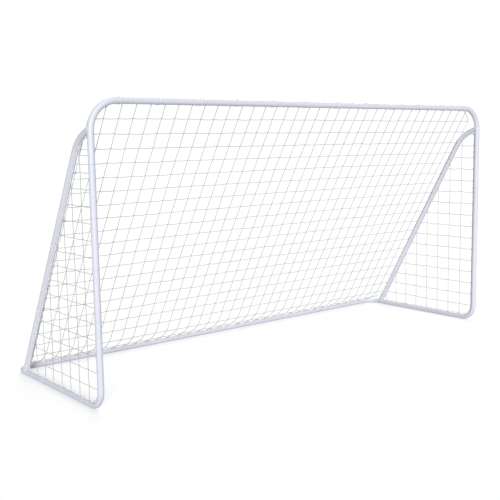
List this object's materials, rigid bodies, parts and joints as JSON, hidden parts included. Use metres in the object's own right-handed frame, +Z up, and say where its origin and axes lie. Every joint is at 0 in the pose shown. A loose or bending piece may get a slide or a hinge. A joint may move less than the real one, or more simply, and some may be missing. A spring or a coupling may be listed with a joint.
{
  "type": "soccer goal frame",
  "caption": "Free-standing soccer goal of round white steel tube: bent sides with diagonal stays, crossbar, rear ground bar, sprung-button sockets and a three-panel net.",
  "frame": {"origin": "on the ground, in the middle of the goal's box", "axes": "+X along the crossbar to the right seen from the front, +Y from the mouth to the rear bar, +Z up"},
  "size_m": [3.66, 1.22, 1.83],
  "materials": {
    "powder_coat": "smooth satin white powder coat with a faint lavender cast",
    "zinc": "bright zinc plate",
    "spring_steel": "blued spring strip",
    "netting": "knotted braided twine, off-white"
  },
  "bodies": {
    "frame": {"left_side_tube": "powder_coat", "right_side_tube": "powder_coat", "left_stay": "powder_coat", "right_stay": "powder_coat", "crossbar_left": "powder_coat", "crossbar_right": "powder_coat", "left_rear_corner": "powder_coat", "right_rear_corner": "powder_coat", "rear_bar_left": "powder_coat", "rear_bar_right": "powder_coat", "spring_crossbar_left": "spring_steel", "spring_crossbar_centre": "spring_steel", "spring_crossbar_right": "spring_steel", "spring_base_left": "spring_steel", "spring_base_right": "spring_steel", "spring_rear_left": "spring_steel", "spring_rear_centre": "spring_steel", "spring_rear_right": "spring_steel", "back_net": "netting", "left_side_net": "netting", "right_side_net": "netting"},
    "button_crossbar_left": {"button_crossbar_left": "zinc"},
    "button_crossbar_centre": {"button_crossbar_centre": "zinc"},
    "button_crossbar_right": {"button_crossbar_right": "zinc"},
    "button_base_left": {"button_base_left": "zinc"},
    "button_base_right": {"button_base_right": "zinc"},
    "button_rear_left": {"button_rear_left": "zinc"},
    "button_rear_centre": {"button_rear_centre": "zinc"},
    "button_rear_right": {"button_rear_right": "zinc"}
  },
  "joints": [
    {"name": "press_crossbar_left", "type": "slide", "parent": "frame", "child": "button_crossbar_left", "axis": [0, -1, 0], "range_m": [0, 0.0056], "stiffness_N_per_m": 2000, "springref_m": -0.003},
    {"name": "press_crossbar_centre", "type": "slide", "parent": "frame", "child": "button_crossbar_centre", "axis": [0, -1, 0], "range_m": [0, 0.0056], "stiffness_N_per_m": 2000, "springref_m": -0.003},
    {"name": "press_crossbar_right", "type": "slide", "parent": "frame", "child": "button_crossbar_right", "axis": [0, -1, 0], "range_m": [0, 0.0056], "stiffness_N_per_m": 2000, "springref_m": -0.003},
    {"name": "press_base_left", "type": "slide", "parent": "frame", "child": "button_base_left", "axis": [-1, 0, 0], "range_m": [0, 0.0056], "stiffness_N_per_m": 2000, "springref_m": -0.003},
    {"name": "press_base_right", "type": "slide", "parent": "frame", "child": "button_base_right", "axis": [1, 0, 0], "range_m": [0, 0.0056], "stiffness_N_per_m": 2000, "springref_m": -0.003},
    {"name": "press_rear_left", "type": "slide", "parent": "frame", "child": "button_rear_left", "axis": [0, 1, 0], "range_m": [0, 0.0056], "stiffness_N_per_m": 2000, "springref_m": -0.003},
    {"name": "press_rear_centre", "type": "slide", "parent": "frame", "child": "button_rear_centre", "axis": [0, 1, 0], "range_m": [0, 0.0056], "stiffness_N_per_m": 2000, "springref_m": -0.003},
    {"name": "press_rear_right", "type": "slide", "parent": "frame", "child": "button_rear_right", "axis": [0, 1, 0], "range_m": [0, 0.0056], "stiffness_N_per_m": 2000, "springref_m": -0.003}
  ]
}
